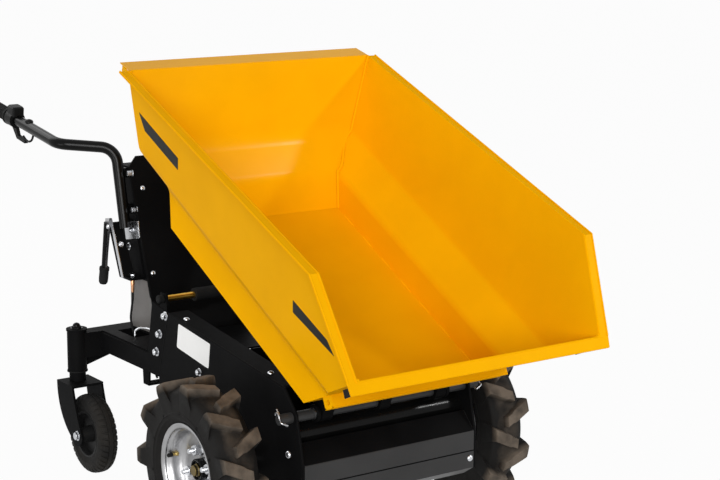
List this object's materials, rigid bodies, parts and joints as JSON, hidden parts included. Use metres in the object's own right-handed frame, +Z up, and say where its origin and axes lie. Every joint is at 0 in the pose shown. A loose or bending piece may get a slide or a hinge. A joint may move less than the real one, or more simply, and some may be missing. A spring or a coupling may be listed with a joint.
{
  "type": "walk-behind site dumper",
  "caption": "Walk-behind site dumper: yellow tipping skip on a black plate chassis, lugged drive wheels in front, swivel castors behind, and bent handlebars on a leaning tower.",
  "frame": {"origin": "on the ground, under the middle of the machine with its skip tipped as in the picture", "axes": "+Y from the nose to the handles, +X to the machine's left, +Z up"},
  "size_m": [0.8728, 1.8746, 1.1207],
  "materials": {
    "skip_yellow": "glossy yellow powder coat",
    "frame_black": "satin black powder coat",
    "bare_steel": "zinc-plated steel",
    "gold_zinc": "yellow-passivated zinc",
    "rim_silver": "silver paint",
    "tyre_rubber": "matt black rubber",
    "black_rubber": "matt black rubber",
    "black_plastic": "moulded black plastic",
    "drive_casting": "painted casting",
    "actuator_black": "black anodised"
  },
  "bodies": {
    "chassis": {"actuator_foot": "frame_black", "axle_left": "bare_steel", "axle_right": "bare_steel", "batteries": "black_plastic", "belly_pan": "frame_black", "brake_bracket": "frame_black", "brake_cable": "black_rubber", "brake_lever": "bare_steel", "cable_stop": "frame_black", "control_clamp_left": "black_plastic", "control_clamp_right": "black_plastic", "cross_tube": "frame_black", "drive_unit": "drive_casting", "front_cover": "frame_black", "grip_left": "black_rubber", "grip_right": "black_rubber", "handle_left": "frame_black", "handle_right": "frame_black", "hinge_shaft": "frame_black", "latch_block": "black_rubber", "latch_rod": "gold_zinc", "latch_tabs": "frame_black", "rear_crossbeam": "frame_black", "rear_deck": "frame_black", "rear_rail_left": "frame_black", "rear_rail_right": "frame_black", "rear_upright_left": "frame_black", "rear_upright_right": "frame_black", "side_plate_left": "frame_black", "side_plate_right": "frame_black", "tower_housing": "frame_black", "tower_panel": "frame_black"},
    "skip": {"skip_side_left": "skip_yellow", "skip_side_right": "skip_yellow", "skip_floor": "skip_yellow", "skip_front_wall": "skip_yellow", "skip_rear_wall": "skip_yellow", "skip_subframe": "frame_black", "skip_knuckles": "frame_black"},
    "wheel_left": {"tyre_left": "tyre_rubber", "rim_left": "rim_silver"},
    "wheel_right": {"tyre_right": "tyre_rubber", "rim_right": "rim_silver"},
    "castor_left": {"castor_fork_left": "frame_black"},
    "castor_right": {"castor_fork_right": "frame_black"},
    "castor_wheel_left": {"castor_tyre_left": "tyre_rubber", "castor_rim_left": "black_plastic"},
    "castor_wheel_right": {"castor_tyre_right": "tyre_rubber", "castor_rim_right": "black_plastic"},
    "actuator": {"actuator_body": "actuator_black"},
    "actuator_rod": {"actuator_rod": "bare_steel"}
  },
  "joints": [
    {"name": "skip_tip", "type": "hinge", "parent": "chassis", "child": "skip", "pos_m": [0, -0.5452, 0.361], "axis": [1, 0, 0], "range_deg": [-19.5, 60]},
    {"name": "actuator_swing", "type": "hinge", "parent": "chassis", "child": "actuator", "pos_m": [0, -0.0852, 0.19], "axis": [1, 0, 0], "range_deg": [-6, 8]},
    {"name": "actuator_stroke", "type": "slide", "parent": "actuator", "child": "actuator_rod", "axis": [0, -0.8301, 0.5576], "range_m": [-0.05, 0.135]},
    {"name": "wheel_left_spin", "type": "hinge", "parent": "chassis", "child": "wheel_left", "pos_m": [0.383, -0.3652, 0.214], "axis": [1, 0, 0], "continuous": true},
    {"name": "castor_left_swivel", "type": "hinge", "parent": "chassis", "child": "castor_left", "pos_m": [0.305, 0.4228, 0.262], "axis": [0, 0, 1], "continuous": true},
    {"name": "castor_left_spin", "type": "hinge", "parent": "castor_left", "child": "castor_wheel_left", "pos_m": [0.305, 0.3388, 0.106], "axis": [1, 0, 0], "continuous": true},
    {"name": "wheel_right_spin", "type": "hinge", "parent": "chassis", "child": "wheel_right", "pos_m": [-0.383, -0.3652, 0.214], "axis": [1, 0, 0], "continuous": true},
    {"name": "castor_right_swivel", "type": "hinge", "parent": "chassis", "child": "castor_right", "pos_m": [-0.305, 0.4228, 0.262], "axis": [0, 0, 1], "continuous": true},
    {"name": "castor_right_spin", "type": "hinge", "parent": "castor_right", "child": "castor_wheel_right", "pos_m": [-0.305, 0.3388, 0.106], "axis": [1, 0, 0], "continuous": true}
  ],
  "couplings": [
    {"joint": "actuator_swing", "follows": "skip_tip", "ratio": 0.00582},
    {"joint": "actuator_stroke", "follows": "skip_tip", "m_per_rad": 0.11718}
  ]
}
